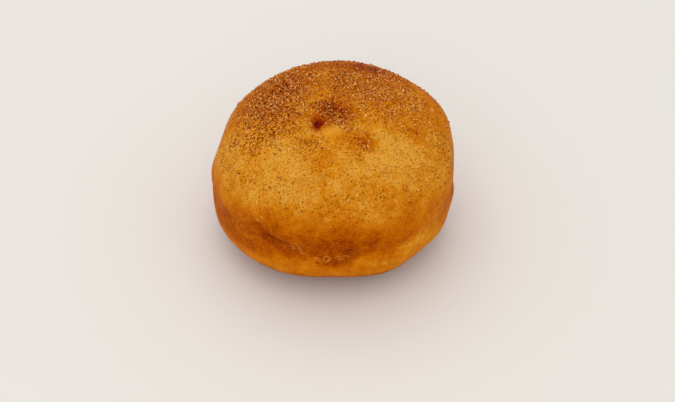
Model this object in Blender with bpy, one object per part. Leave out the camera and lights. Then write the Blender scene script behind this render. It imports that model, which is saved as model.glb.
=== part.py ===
"""Jelly filled doughnut: a plump fried yeast dough ball with one piping hole, and the jelly that fills the hole.

The dough is a rounded form with a seam round its waist, where the browned cap meets the pale belly. Its crown
leans a little, and it has shallow swells and dips, a soft dimple round the piping hole and a flat spot to rest on.
Metres, +Z up. The origin is on the table, under the middle of the dough's box.
"""

from math import asin, atan2, cos, exp, hypot, pi, sin

import bmesh
import bpy
from mathutils import Vector, noise

# Overall form, measured from the middle of the waist.
RADIUS = 0.0452
WAIST_HEIGHT = 0.0240
CROWN_RISE = 0.0322
BELLY_DROP = 0.0248  # a little more than the waist height, so that the table flattens the belly
CROWN_ROUNDNESS = 3.0  # 2 is an ellipse, and a higher figure is squarer
BELLY_ROUNDNESS = 3.2
DEPTH_SHARE = 0.975
CROWN_LEAN = (0.077, 0.018)  # sideways shift of the dough for each metre above the waist

# Plan outline: the front is blunt and the back is a little pointed.
OVAL = 0.0044
THREE_SIDED = -0.0155

# Seam where the browned cap meets the pale belly. It runs level, but where it climbs at the front left and right.
SEAM_HEIGHT = 0.0232
SEAM_CLIMBS = (  # longitude and spread in degrees, then height in metres
    (-134, 10, 0.0072),
    (-122, 26, 0.0026),
    (0, 28, 0.0066),
)
SEAM_WAVE = 0.0006
SEAM_WIDTH = 0.0019
SEAM_TRACE = 0.00018  # its depth where it is hardly to be seen
SEAM_FOLDS = (  # longitude and spread in degrees, then depth in metres
    (-116, 14, 0.0004),
    (0, 17, 0.0011),
    (187, 15, 0.0006),
)
CAP_BULGE_SHARE = 0.5  # of the seam's depth, in the swell of the cap over it
CAP_BULGE_RISE = 0.0045
CAP_BULGE_WIDTH = 0.0035

# Swells (+) and dips (-): longitude and latitude in degrees, then reach and height in metres.
SWELLS = {
    "right shoulder": (14, 30, 0.012, 0.0009),
    "right waist": (-2, 13, 0.011, -0.0012),
    "left shoulder": (165, 34, 0.009, -0.0006),
    "left cheek": (151, 24, 0.008, 0.0004),
    "left hollow": (173, 13, 0.009, -0.0010),
    "left waist": (180, 5, 0.009, 0.0009),
    "left belly": (-158, -13, 0.010, 0.0005),
    "right cheek": (-11, -2, 0.005, 0.0007),
    "right belly": (-27, -14, 0.008, 0.0010),
    "front right belly": (-62, -24, 0.012, 0.0010),
    "front belly": (-92, -26, 0.012, -0.0006),
    "lip before the hole": (-94, 68, 0.0035, 0.0006),
}
RIPPLE_HEIGHT = 0.00045
RIPPLE_LENGTH = 0.021

# Piping hole, and the dimple round it.
HOLE_PLACE = (-0.0060, -0.0057)
HOLE_RADIUS = 0.0023
HOLE_TIP_RADIUS = 0.0018
HOLE_REACH = 0.0240
HOLE_SIDES = 20
DIMPLE_PLACE = (-0.0040, -0.0046)
DIMPLE_REACH = 0.0060
DIMPLE_DEPTH = 0.0024

# Jelly in the hole.
JELLY_GAP = 0.0003
JELLY_SINK = 0.0011
JELLY_DOME = 0.0005

# Mesh resolution.
SEGMENTS = 88
RINGS = 50
RING_CROWDING = 1.2  # over 1 draws the rings towards the waist
HALVINGS = 24  # of the span searched for the latitude of the foot's rim
POLE_MARGIN = 1e-6
CUTTER_OVERRUN = 0.006


def clear_scene():
    """Removes every object that is in the scene."""
    for thing in list(bpy.data.objects):
        bpy.data.objects.remove(thing)


def make_collection(name):
    """A new collection in the scene."""
    collection = bpy.data.collections.new(name)
    bpy.context.scene.collection.children.link(collection)
    return collection


def food_material(name, colour, roughness, subsurface):
    """A food surface: its linear colour, its roughness and how far light sinks into it."""
    made = bpy.data.materials.new(name)
    made.use_nodes = True
    shader = made.node_tree.nodes["Principled BSDF"]
    shader.inputs["Base Color"].default_value = (*colour, 1.0)
    shader.inputs["Roughness"].default_value = roughness
    shader.inputs["Metallic"].default_value = 0.0
    shader.inputs["Subsurface Weight"].default_value = subsurface
    return made


def heading(longitude, latitude):
    """The unit vector at a longitude and latitude in degrees."""
    turn, rise = longitude * pi / 180, latitude * pi / 180
    return Vector((cos(turn) * cos(rise), sin(turn) * cos(rise), sin(rise)))


def plain_point(direction):
    """Where a ray from the middle of the waist leaves the plain rounded form."""
    across = hypot(direction.x, direction.y)
    turn = atan2(direction.y, direction.x)
    rise = CROWN_RISE if direction.z >= 0 else BELLY_DROP
    roundness = CROWN_ROUNDNESS if direction.z >= 0 else BELLY_ROUNDNESS
    size = (across / RADIUS) ** roundness + (abs(direction.z) / rise) ** roundness
    reach = size ** (-1 / roundness)
    plan = 1 + OVAL * cos(2 * turn) + THREE_SIDED * sin(3 * turn)
    height = direction.z * reach
    x = direction.x * reach * plan + CROWN_LEAN[0] * height
    y = direction.y * reach * plan * DEPTH_SHARE + CROWN_LEAN[1] * height
    return Vector((x, y, WAIST_HEIGHT + height))


def bell(distance, reach):
    """A smooth bell: 1 at its middle, and near 0 from two reaches away."""
    return exp(-((distance / reach) ** 2))


def turn_between(longitude, other):
    """The shorter turn from one longitude to another, in degrees."""
    return (longitude - other + 180) % 360 - 180


def seam_height(longitude):
    """Height of the seam at a longitude in degrees."""
    height = SEAM_HEIGHT + SEAM_WAVE * sin(3 * longitude * pi / 180 + 1)
    for at, spread, climb in SEAM_CLIMBS:
        height += climb * bell(turn_between(longitude, at), spread)
    return height


def seam_depth(longitude):
    """Depth of the seam at a longitude in degrees: a trace, and more in its folds."""
    depth = SEAM_TRACE
    for at, spread, fold in SEAM_FOLDS:
        depth += fold * bell(turn_between(longitude, at), spread)
    return depth


def seam_relief(point, direction):
    """The pinch of the seam, and the swell of the cap just over it."""
    longitude = atan2(direction.y, direction.x) * 180 / pi
    above = point.z - seam_height(longitude)
    pinch = bell(above, SEAM_WIDTH)
    swell = CAP_BULGE_SHARE * bell(above - CAP_BULGE_RISE, CAP_BULGE_WIDTH)
    return seam_depth(longitude) * (swell - pinch)


def swell_relief(point):
    """The named swells and dips together."""
    out = 0.0
    for longitude, latitude, reach, height in SWELLS.values():
        middle = plain_point(heading(longitude, latitude))
        out += height * bell((point - middle).length, reach)
    return out


def dimple_depth(point):
    """How far the crown has sunk round the piping hole."""
    if point.z < WAIST_HEIGHT:
        return 0.0
    away = hypot(point.x - DIMPLE_PLACE[0], point.y - DIMPLE_PLACE[1])
    return DIMPLE_DEPTH * bell(away, DIMPLE_REACH)


def dough_point(direction):
    """The dough's surface on a ray from the middle of the waist."""
    plain = plain_point(direction)
    ripple = RIPPLE_HEIGHT * noise.noise(plain / RIPPLE_LENGTH)
    relief = seam_relief(plain, direction) + swell_relief(plain) + ripple
    point = plain + direction * relief
    point.z -= dimple_depth(plain)
    return point


def foot_latitude(longitude):
    """The latitude at which the dough at this longitude meets the table, in degrees."""
    under, over = -89.0, 0.0
    for _ in range(HALVINGS):
        middle = (under + over) / 2
        if dough_point(heading(longitude, middle)).z < 0:
            under = middle
        else:
            over = middle
    return over


def ring_latitude(longitude, share):
    """The latitude of a ring, in degrees.

    share is 1 at the top of the crown, 0 at the waist and -1 at the foot's rim. The rings stand closer together
    near the waist, for the seam.
    """
    end = 90 if share > 0 else foot_latitude(longitude)
    return end * abs(share) ** RING_CROWDING


def dough_vertex(on_ball):
    """Where a vertex of a ball of radius 1 goes on the dough. Its lowest goes to the middle of the foot."""
    if on_ball.z < POLE_MARGIN - 1:
        return Vector((0, 0, 0))
    longitude = atan2(on_ball.y, on_ball.x) * 180 / pi
    share = 2 * asin(min(on_ball.z, 1)) / pi
    if share < 0:
        share *= RINGS / (RINGS - 2)  # the last ring over the pole is the foot's rim
    point = dough_point(heading(longitude, ring_latitude(longitude, share)))
    point.z = max(point.z, 0)
    return point


def make_dough(collection):
    """The dough, with a flat foot and with no hole in it yet."""
    shape = bmesh.new()
    bmesh.ops.create_uvsphere(shape, u_segments=SEGMENTS, v_segments=RINGS, radius=1)
    for vertex in shape.verts:
        vertex.co = dough_vertex(vertex.co)
    bmesh.ops.recalc_face_normals(shape, faces=shape.faces)
    mesh = bpy.data.meshes.new("dough")
    shape.to_mesh(mesh)
    shape.free()
    mesh.shade_smooth()
    mesh.materials.append(food_material("fried_crust", (0.56, 0.24, 0.045), 0.5, 0.1))
    dough = bpy.data.objects.new("dough", mesh)
    collection.objects.link(dough)
    return dough


def hole_mouth(dough):
    """The point on the crown where the nozzle went in."""
    found, mouth, _, _ = dough.ray_cast(Vector((*HOLE_PLACE, 1)), Vector((0, 0, -1)))
    if not found:
        raise ValueError("HOLE_PLACE isn't over the dough")
    return mouth


def hole_axis(mouth):
    """The way out of the hole, away from the dough's heart, where the nozzle was aimed."""
    return (mouth - Vector((0, 0, WAIST_HEIGHT))).normalized()


def make_plug(name, collection, mouth, low, high, shrink, dome):
    """A tapered round plug along the hole's axis, from low to high metres out of its mouth.

    shrink is how much slimmer it is than the hole, and dome how far its top swells.
    """
    taper = (HOLE_RADIUS - HOLE_TIP_RADIUS) / HOLE_REACH
    shape = bmesh.new()
    bmesh.ops.create_cone(
        shape,
        cap_ends=True,
        segments=HOLE_SIDES,
        radius1=HOLE_RADIUS + taper * low - shrink,
        radius2=HOLE_RADIUS + taper * high - shrink,
        depth=high - low,
    )
    bmesh.ops.translate(shape, verts=shape.verts, vec=(0, 0, (high + low) / 2))
    if dome:
        top = max(shape.faces, key=lambda face: face.calc_center_median().z)
        bmesh.ops.inset_individual(shape, faces=[top], thickness=HOLE_RADIUS / 3)
        bmesh.ops.translate(shape, verts=top.verts, vec=(0, 0, dome))
    mesh = bpy.data.meshes.new(name)
    shape.to_mesh(mesh)
    shape.free()
    mesh.shade_smooth()
    mesh.set_sharp_from_angle(angle=pi / 3)
    plug = bpy.data.objects.new(name, mesh)
    plug.location = mouth
    plug.rotation_mode = "QUATERNION"
    plug.rotation_quaternion = hole_axis(mouth).to_track_quat("Z", "Y")
    collection.objects.link(plug)
    return plug


def pierce(dough, mouth, cutters):
    """Cuts the piping hole into the dough."""
    cutter = make_plug("nozzle", cutters, mouth, -HOLE_REACH, CUTTER_OVERRUN, 0, 0)
    cutter.hide_render = True
    cutter.display_type = "WIRE"
    cut = dough.modifiers.new("piping_hole", "BOOLEAN")
    cut.operation = "DIFFERENCE"
    cut.solver = "EXACT"
    cut.object = cutter
    return cutter


def make_jelly(mouth, collection):
    """The jelly in the hole, clear of its wall and of its end."""
    low, high = JELLY_GAP - HOLE_REACH, -JELLY_SINK
    jelly = make_plug("jelly", collection, mouth, low, high, JELLY_GAP, JELLY_DOME)
    jelly.data.materials.append(food_material("jelly", (0.17, 0.006, 0.008), 0.12, 0.2))
    return jelly


def box_middle(thing):
    """The middle of an object's box in plan, at table height."""
    corners = [Vector(corner) for corner in thing.bound_box]
    low = [min(corner[axis] for corner in corners) for axis in (0, 1)]
    high = [max(corner[axis] for corner in corners) for axis in (0, 1)]
    return Vector(((low[0] + high[0]) / 2, (low[1] + high[1]) / 2, 0))


def main():
    """Builds the doughnut and sets its origin under the middle of its box."""
    clear_scene()
    food = make_collection("jelly_filled_doughnut")
    cutters = make_collection("cutters")
    dough = make_dough(food)
    mouth = hole_mouth(dough)
    cutter = pierce(dough, mouth, cutters)
    jelly = make_jelly(mouth, food)
    table_point = bpy.data.objects.new("table_point", None)
    food.objects.link(table_point)
    table_point.location = -box_middle(dough)
    for thing in (dough, jelly, cutter):
        thing.parent = table_point


main()
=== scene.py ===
"""Looks of a jelly filled doughnut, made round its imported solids.

The crust is a fine skin of the dough's own form, with the blisters, wrinkles and browning that hot oil leaves. Jelly
shows in the piping hole, and sugar and cinnamon lie on the crown. Metres, +Z up.
"""

import logging
import math
from dataclasses import dataclass, field
from enum import Enum
from typing import Any

import bmesh
import bpy
import numpy as np
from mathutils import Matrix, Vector, noise
from mathutils.bvhtree import BVHTree


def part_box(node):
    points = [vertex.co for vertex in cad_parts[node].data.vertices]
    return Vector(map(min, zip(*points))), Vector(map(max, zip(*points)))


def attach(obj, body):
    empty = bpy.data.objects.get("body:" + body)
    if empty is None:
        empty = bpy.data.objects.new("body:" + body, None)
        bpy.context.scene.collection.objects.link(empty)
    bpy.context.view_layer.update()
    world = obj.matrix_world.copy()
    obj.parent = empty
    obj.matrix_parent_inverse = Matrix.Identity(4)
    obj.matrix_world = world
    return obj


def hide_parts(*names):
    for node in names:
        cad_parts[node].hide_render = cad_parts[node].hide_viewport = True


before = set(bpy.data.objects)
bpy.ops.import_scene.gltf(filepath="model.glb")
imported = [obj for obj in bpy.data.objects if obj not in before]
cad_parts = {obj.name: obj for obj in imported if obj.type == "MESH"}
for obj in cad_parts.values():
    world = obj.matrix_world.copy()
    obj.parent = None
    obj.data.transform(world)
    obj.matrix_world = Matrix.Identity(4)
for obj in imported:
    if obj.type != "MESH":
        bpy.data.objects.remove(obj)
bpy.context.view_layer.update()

log = logging.getLogger("jelly_filled_doughnut")
Array = np.ndarray
MM = 0.001


class Field(Enum):
    """The values that the crust's mesh carries for its finish, one number a vertex."""

    BROWNING_AND_SHADE = "browning_and_shade"
    DUST = "dust"
    STAIN = "stain"
    GLOSS = "gloss"


class Topping(Enum):
    """What lies on the crown."""

    SUGAR = "sugar_grains"
    CINNAMON = "cinnamon_specks"


# ---------------------------------------------------------------- helpers


def linear(colour: str) -> tuple[float, float, float, float]:
    """Turns an sRGB hex colour into linear RGBA.

    Args:
        colour: Six hex digits after a hash.

    Returns:
        Red, green and blue as linear light, and an alpha of 1.
    """
    parts = [int(colour[i : i + 2], 16) / 255 for i in (1, 3, 5)]
    lit = [p / 12.92 if p <= 0.04045 else ((p + 0.055) / 1.055) ** 2.4 for p in parts]
    return (lit[0], lit[1], lit[2], 1.0)


def add_node(
    tree: bpy.types.NodeTree,
    kind: str,
    settings: dict[str | int, Any] | None = None,
    links: dict[str | int, bpy.types.NodeSocket] | None = None,
) -> bpy.types.Node:
    """Adds a node, sets it and links its inputs.

    Args:
        tree: The material's node tree.
        kind: The node's type, such as "ShaderNodeTexNoise".
        settings: Values by property name, or by input name or number.
        links: Sockets to link, by input name or number.

    Returns:
        The new node.
    """
    node = tree.nodes.new(kind)
    for name, value in (settings or {}).items():
        if isinstance(name, str) and hasattr(node, name):
            setattr(node, name, value)
        else:
            node.inputs[name].default_value = value
    for name, socket in (links or {}).items():
        tree.links.new(socket, node.inputs[name])
    return node


def new_material(name: str) -> tuple[bpy.types.Material, bpy.types.NodeTree]:
    """Makes a material with an empty node tree.

    Args:
        name: The material's name.

    Returns:
        The material and its tree.
    """
    made = bpy.data.materials.new(name)
    made.use_nodes = True
    made.node_tree.nodes.clear()
    return made, made.node_tree


def bell(distance: Array, reach: float) -> Array:
    """A smooth bell: 1 at its middle, and near 0 from two reaches away."""
    return np.exp(-((distance / reach) ** 2))


def smooth(values: Array, low: float, high: float) -> Array:
    """An even S from 0 at low to 1 at high."""
    share = np.clip((values - low) / (high - low), 0, 1)
    return share * share * (3 - 2 * share)


def heading(longitude: float, latitude: float) -> Array:
    """The unit vector at a longitude and latitude in degrees, as a row."""
    turn, rise = math.radians(longitude), math.radians(latitude)
    level = math.cos(rise)
    return np.array([[math.cos(turn) * level, math.sin(turn) * level, math.sin(rise)]])


def mottle(points: Array, size: float, shift: float = 0.0) -> Array:
    """Smooth noise, from about -1 to 1.

    Args:
        points: Places in metres, one a row.
        size: The noise's grain in metres.
        shift: Moves the pattern, so that two fields differ.

    Returns:
        One value a row.
    """
    return np.array([noise.noise(p) for p in (points / size + shift).tolist()])


def put(name: str, mesh: bpy.types.Mesh, slot: str, *nodes: str) -> bpy.types.Object:
    """Shows a mesh as a piece of the doughnut.

    Args:
        name: The piece's name.
        mesh: Its mesh, in place.
        slot: A material slot's name; not used.
        nodes: The CAD nodes that it stands for.

    Returns:
        The piece.
    """
    piece = bpy.data.objects.new(name, mesh)
    bpy.context.scene.collection.objects.link(piece)
    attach(piece, "root")
    if nodes:
        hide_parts(*nodes)
    log.info("%s: %d vertices, %d faces", name, len(mesh.vertices), len(mesh.polygons))
    return piece


def mesh_from(name: str, points: Array, faces: Array) -> bpy.types.Mesh:
    """Makes a smooth mesh from points and equal-sided faces.

    Args:
        name: The mesh's name.
        points: Places, one a row.
        faces: The points of each face, one face a row.

    Returns:
        The mesh.
    """
    mesh = bpy.data.meshes.new(name)
    mesh.from_pydata(points.tolist(), [], faces.tolist())
    mesh.shade_smooth()
    mesh.update()
    return mesh


def store(mesh: bpy.types.Mesh, name: str, values: Array) -> None:
    """Stores one number a vertex on a mesh.

    Args:
        mesh: The mesh.
        name: The attribute's name.
        values: One value a vertex.
    """
    layer = mesh.attributes.new(name, "FLOAT", "POINT")
    layer.data.foreach_set("value", values.astype(np.float32))


# ---------------------------------------------------------------- form


@dataclass(frozen=True)
class Spot:
    """A round place on the dough: longitude and latitude in degrees, reach in metres, and how strong it is."""

    longitude: float
    latitude: float
    reach: float
    strength: float


@dataclass(frozen=True)
class Turn:
    """A stretch of the seam: longitude and spread in degrees, and a height or depth in metres."""

    longitude: float
    spread: float
    size: float

    def at(self, longitudes: Array) -> Array:
        """Its height or depth at these longitudes."""
        away = (longitudes - self.longitude + 180) % 360 - 180
        return self.size * bell(away, self.spread)


@dataclass(frozen=True)
class DoughForm:
    """The dough's rounded form, as its solid has it, measured from the middle of its foot."""

    radius: float = 0.0452
    waist_height: float = 0.0240
    crown_rise: float = 0.0322
    belly_drop: float = 0.0248
    crown_roundness: float = 3.0
    belly_roundness: float = 3.2
    depth_share: float = 0.975
    crown_lean: tuple[float, float] = (0.077, 0.018)
    oval: float = 0.0044
    three_sided: float = -0.0155
    seam_height: float = 0.0232
    seam_climbs: tuple[Turn, ...] = (Turn(-134, 10, 0.0072), Turn(-122, 26, 0.0026), Turn(0, 28, 0.0066))
    seam_wave: float = 0.0006
    seam_width: float = 0.0019
    seam_trace: float = 0.00018
    seam_folds: tuple[Turn, ...] = (Turn(-116, 14, 0.0004), Turn(0, 17, 0.0011), Turn(187, 15, 0.0006))
    cap_bulge_share: float = 0.5
    cap_bulge_rise: float = 0.0045
    cap_bulge_width: float = 0.0035
    swells: tuple[Spot, ...] = (
        Spot(14, 30, 0.012, 0.0009),
        Spot(-2, 13, 0.011, -0.0012),
        Spot(165, 34, 0.009, -0.0006),
        Spot(151, 24, 0.008, 0.0004),
        Spot(173, 13, 0.009, -0.0010),
        Spot(180, 5, 0.009, 0.0009),
        Spot(-158, -13, 0.010, 0.0005),
        Spot(-11, -2, 0.005, 0.0007),
        Spot(-27, -14, 0.008, 0.0010),
        Spot(-62, -24, 0.012, 0.0010),
        Spot(-92, -26, 0.012, -0.0006),
        Spot(-94, 68, 0.0035, 0.0006),
    )
    ripple_height: float = 0.00045
    ripple_length: float = 0.021
    hole_place: tuple[float, float] = (-0.0060, -0.0057)
    dimple_place: tuple[float, float] = (-0.0040, -0.0046)
    dimple_reach: float = 0.0060
    dimple_depth: float = 0.0024

    def plain(self, rays: Array) -> Array:
        """Where rays from the middle of the waist leave the plain rounded form."""
        crown = rays[:, 2] >= 0
        rise = np.where(crown, self.crown_rise, self.belly_drop)
        roundness = np.where(crown, self.crown_roundness, self.belly_roundness)
        across = np.hypot(rays[:, 0], rays[:, 1])
        turn = np.arctan2(rays[:, 1], rays[:, 0])
        size = (across / self.radius) ** roundness + (np.abs(rays[:, 2]) / rise) ** roundness
        reach = size ** (-1 / roundness)
        plan = 1 + self.oval * np.cos(2 * turn) + self.three_sided * np.sin(3 * turn)
        height = rays[:, 2] * reach
        x = rays[:, 0] * reach * plan + self.crown_lean[0] * height
        y = rays[:, 1] * reach * plan * self.depth_share + self.crown_lean[1] * height
        return np.column_stack((x, y, self.waist_height + height))

    def over_seam(self, points: Array, longitudes: Array) -> Array:
        """How far each point is over the seam, in metres."""
        height = self.seam_height + self.seam_wave * np.sin(np.radians(3 * longitudes) + 1)
        return points[:, 2] - height - sum(climb.at(longitudes) for climb in self.seam_climbs)

    def spot_at(self, points: Array, spot: Spot) -> Array:
        """How much of a spot's strength reaches each point of the plain form."""
        middle = self.plain(heading(spot.longitude, spot.latitude))
        return spot.strength * bell(np.linalg.norm(points - middle, axis=1), spot.reach)

    def surface(self, rays: Array) -> Array:
        """The dough's surface on rays from the middle of the waist, with no hole in it."""
        points = self.plain(rays)
        longitudes = np.degrees(np.arctan2(rays[:, 1], rays[:, 0]))
        above = self.over_seam(points, longitudes)
        depth = self.seam_trace + sum(fold.at(longitudes) for fold in self.seam_folds)
        bulge = self.cap_bulge_share * bell(above - self.cap_bulge_rise, self.cap_bulge_width)
        relief = depth * (bulge - bell(above, self.seam_width))
        relief += sum(self.spot_at(points, swell) for swell in self.swells)
        relief += self.ripple_height * mottle(points, self.ripple_length)
        away = np.hypot(points[:, 0] - self.dimple_place[0], points[:, 1] - self.dimple_place[1])
        sunk = self.dimple_depth * bell(away, self.dimple_reach) * (points[:, 2] >= self.waist_height)
        out = points + rays * relief[:, None]
        out[:, 2] -= sunk
        return out

    def on_skin(self, longitude: float, latitude: float) -> Array:
        """The point of the surface at a longitude and latitude in degrees."""
        return self.surface(heading(longitude, latitude))[0]

    def heart(self) -> Array:
        """The middle of the waist."""
        return np.array([0, 0, self.waist_height])

    def mouth(self) -> Array:
        """The point on the crown where the nozzle went in."""
        target = np.array([*self.hole_place, self.waist_height + self.crown_rise])
        for _ in range(12):
            ray = target - self.heart()
            found = self.surface(ray[None] / np.linalg.norm(ray))[0]
            target[:2] += self.hole_place - found[:2]
        return found


@dataclass(frozen=True)
class PipingHole:
    """The hole that the nozzle left: a slot longer than wide, torn into a shallow basin on one side."""

    mouth: Array
    axis: Array
    half_width: float = 1.10 * MM
    half_length: float = 2.4 * MM
    reach: float = 24.0 * MM
    lip: float = 0.8 * MM
    basin_place: tuple[float, float] = (2.2 * MM, 1.4 * MM)
    basin_reach: float = 2.3 * MM
    basin_depth: float = 1.0 * MM

    def sides(self) -> tuple[Array, Array]:
        """Two unit vectors across the axis: to the right, and to the back."""
        right = np.cross([0.0, 1.0, 0.0], self.axis)
        right /= np.linalg.norm(right)
        return right, np.cross(self.axis, right)

    def across(self, points: Array) -> tuple[Array, Array]:
        """How far right and how far back of the mouth each point lies."""
        right, back = self.sides()
        away = points - self.mouth
        return away @ right, away @ back

    def share(self, points: Array) -> Array:
        """Each point's distance from the mouth: 1 on the hole's rim."""
        right, back = self.across(points)
        turn = np.arctan2(back, right)
        uneven = 1 + 0.07 * np.sin(3 * turn + 0.6) + 0.04 * np.sin(5 * turn)
        return np.hypot(right / self.half_width, back / self.half_length) / uneven

    def basin(self, points: Array) -> Array:
        """How much of the torn basin reaches each point, from 0 to 1."""
        right, back = self.across(points)
        return bell(np.hypot(right - self.basin_place[0], back - self.basin_place[1]), self.basin_reach)

    def sunk(self, points: Array) -> Array:
        """How far each point of the crust goes down the hole."""
        near = (points - self.mouth) @ self.axis > -self.reach / 2
        share = self.share(points)
        down = self.reach * (1 - smooth(share, 0.42, 1.05)) ** 2
        soft = self.lip * bell(np.maximum(share - 1, 0), 0.70)
        return (down + soft + self.basin_depth * self.basin(points)) * near


# ---------------------------------------------------------------- finishes


@dataclass(frozen=True)
class FriedCrust:
    """Fried yeast dough: brown where the oil was hottest, pale where it was lifted out of it, and the same colours also
    paint shade and glints.

    A thin fat film gives it a soft sheen, and light sinks a little into it.
    """

    browned_and_shaded: tuple[str, ...] = ("#E2A038", "#D58410", "#C56A02", "#AA4E00", "#883400", "#581A00")
    stained: tuple[str, ...] = ("#C4620C", "#AA3E08", "#842006", "#480602")
    cinnamon_dust: str = "#7C1C00"
    sugar_dust: str = "#E9A656"
    mottle_size: float = 6.0 * MM
    mottle_share: float = 0.50
    blotch_size: float = 2.4 * MM
    blotch_share: float = 0.42
    fleck_size: float = 0.7 * MM
    fleck_share: float = 0.62
    dust_size: float = 0.80 * MM
    dust_from: tuple[float, float] = (0.49, 0.66)
    sugar_from: tuple[float, float] = (0.60, 0.70)
    skin_size: float = 0.9 * MM
    roughness: float = 0.50
    ior: float = 1.46
    film: str = "#FFB45C"
    film_share: float = 0.02
    scatter_depth: float = 1.2 * MM

    def build(self) -> bpy.types.Material:
        """Makes the material."""
        made, tree = new_material("fried_yeast_crust")
        place = add_node(tree, "ShaderNodeTexCoord").outputs["Object"]
        patterns = {
            name: add_node(
                tree, "ShaderNodeTexNoise", {"Scale": 1 / size, "Detail": detail, "Roughness": rough}, {"Vector": place}
            ).outputs["Fac"]
            for name, size, detail, rough in (
                ("mottle", self.mottle_size, 3.0, 0.55),
                ("blotch", self.blotch_size, 3.0, 0.60),
                ("fleck", self.fleck_size, 3.0, 0.65),
                ("dust", self.dust_size, 5.0, 0.70),
                ("sugar", self.dust_size * 0.8, 1.0, 0.50),
                ("sheen", self.mottle_size / 2, 2.0, 0.50),
                ("skin", self.skin_size, 5.0, 0.60),
            )
        }
        carried = {
            value: add_node(tree, "ShaderNodeAttribute", {"attribute_name": value.value}).outputs["Fac"]
            for value in Field
        }
        # The browning_and_shade value carries real browning together with painted shade and paler painted glints, and
        # all of it picks from the same ramp of colours.
        # Noise has its middle at a half, so each share is taken off again by half.
        browned_and_shaded = carried[Field.BROWNING_AND_SHADE]
        shares = {"mottle": self.mottle_share, "blotch": self.blotch_share, "fleck": self.fleck_share}
        for name, share in shares.items():
            lifted = add_node(tree, "ShaderNodeMath", {"operation": "ADD", 1: -share / 2}, {0: browned_and_shaded}).outputs[0]
            settings = {"operation": "MULTIPLY_ADD", 1: share}
            browned_and_shaded = add_node(tree, "ShaderNodeMath", settings, {0: patterns[name], 2: lifted}).outputs[0]
        ramps = {}
        for value, colours in ((browned_and_shaded, self.browned_and_shaded), (carried[Field.STAIN], self.stained)):
            ramp = add_node(tree, "ShaderNodeValToRGB", links={"Fac": value})
            stops = ramp.color_ramp.elements
            stops[0].color, stops[-1].color = linear(colours[0]), linear(colours[-1])
            for number, colour in enumerate(colours[1:-1], 1):
                stops.new(number / (len(colours) - 1)).color = linear(colour)
            ramps[colours] = ramp.outputs["Color"]
        # Finer than a speck of ground cinnamon: the dust between the grains, drawn only as coarse as shows.
        colour = ramps[self.browned_and_shaded]
        for name, span, most, over in (
            ("dust", self.dust_from, 0.85, self.cinnamon_dust),
            ("sugar", self.sugar_from, 0.65, self.sugar_dust),
        ):
            settings = {"From Min": span[0], "From Max": span[1], "To Min": 0.0, "To Max": most}
            grain = add_node(tree, "ShaderNodeMapRange", settings, {"Value": patterns[name]}).outputs[0]
            settings = {"operation": "MULTIPLY", "use_clamp": True}
            share = add_node(tree, "ShaderNodeMath", settings, {0: grain, 1: carried[Field.DUST]}).outputs[0]
            settings = {"data_type": "RGBA", 7: linear(over)}
            colour = add_node(tree, "ShaderNodeMix", settings, {0: share, 6: colour}).outputs[2]
        settings = {"operation": "MULTIPLY", 1: 2.2, "use_clamp": True}
        soaked = add_node(tree, "ShaderNodeMath", settings, {0: carried[Field.STAIN]}).outputs[0]
        links = {0: soaked, 6: colour, 7: ramps[self.stained]}
        colour = add_node(tree, "ShaderNodeMix", {"data_type": "RGBA"}, links).outputs[2]
        # Fat soaks in unevenly, so the sheen comes and goes over a few millimetres.
        sheen = add_node(
            tree,
            "ShaderNodeMapRange",
            {"From Min": 0.3, "From Max": 0.7, "To Min": self.roughness + 0.08, "To Max": self.roughness - 0.08},
            {"Value": patterns["sheen"]},
        ).outputs[0]
        settings = {"operation": "MULTIPLY_ADD", 1: -0.20, "use_clamp": True}
        wet = add_node(tree, "ShaderNodeMath", settings, {0: carried[Field.GLOSS], 2: sheen}).outputs[0]
        settings = {"operation": "MULTIPLY", 1: 0.22, "use_clamp": True}
        oiled = add_node(tree, "ShaderNodeMath", settings, {0: carried[Field.GLOSS]}).outputs[0]
        settings = {"Strength": 0.35, "Distance": 0.10 * MM}
        fine = add_node(tree, "ShaderNodeBump", settings, {"Height": patterns["skin"]}).outputs["Normal"]
        shader = add_node(
            tree,
            "ShaderNodeBsdfPrincipled",
            {
                "IOR": self.ior,
                "Specular IOR Level": self.film_share,
                "Specular Tint": linear(self.film),
                "Subsurface Weight": 0.20,
                "Subsurface Radius": (1.0, 0.42, 0.14),
                "Subsurface Scale": self.scatter_depth,
                "Coat Roughness": 0.22,
            },
            {"Base Color": colour, "Roughness": wet, "Normal": fine, "Coat Weight": oiled},
        )
        add_node(tree, "ShaderNodeOutputMaterial", links={"Surface": shader.outputs[0]})
        return made


@dataclass(frozen=True)
class FruitJelly:
    """Set red fruit jelly: clear, wet and so deep in colour that it looks nearly black in its middle."""

    thick: str = "#4C0500"
    thin: str = "#982404"
    pulp_size: float = 1.4 * MM
    ior: float = 1.36
    shine_share: float = 0.14
    shine_tint: str = "#FF9A80"
    roughness: float = 0.26

    def build(self) -> bpy.types.Material:
        """Makes the material."""
        made, tree = new_material("set_fruit_jelly")
        place = add_node(tree, "ShaderNodeTexCoord").outputs["Object"]
        pulp = add_node(tree, "ShaderNodeTexNoise", {"Scale": 1 / self.pulp_size, "Detail": 3.0}, {"Vector": place})
        colour = add_node(
            tree,
            "ShaderNodeMix",
            {"data_type": "RGBA", 6: linear(self.thick), 7: linear(self.thin)},
            {0: pulp.outputs["Fac"]},
        ).outputs[2]
        settings = {"Strength": 0.3, "Distance": 0.15 * MM}
        bumps = add_node(tree, "ShaderNodeBump", settings, {"Height": pulp.outputs["Fac"]})
        shader = add_node(
            tree,
            "ShaderNodeBsdfPrincipled",
            {
                "IOR": self.ior,
                "Specular IOR Level": self.shine_share,
                "Specular Tint": linear(self.shine_tint),
                "Roughness": self.roughness,
                "Subsurface Weight": 0.5,
                "Subsurface Radius": (1.0, 0.15, 0.1),
                "Subsurface Scale": 1.2 * MM,
            },
            {"Base Color": colour, "Normal": bumps.outputs["Normal"]},
        )
        add_node(tree, "ShaderNodeOutputMaterial", links={"Surface": shader.outputs[0]})
        return made


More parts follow.
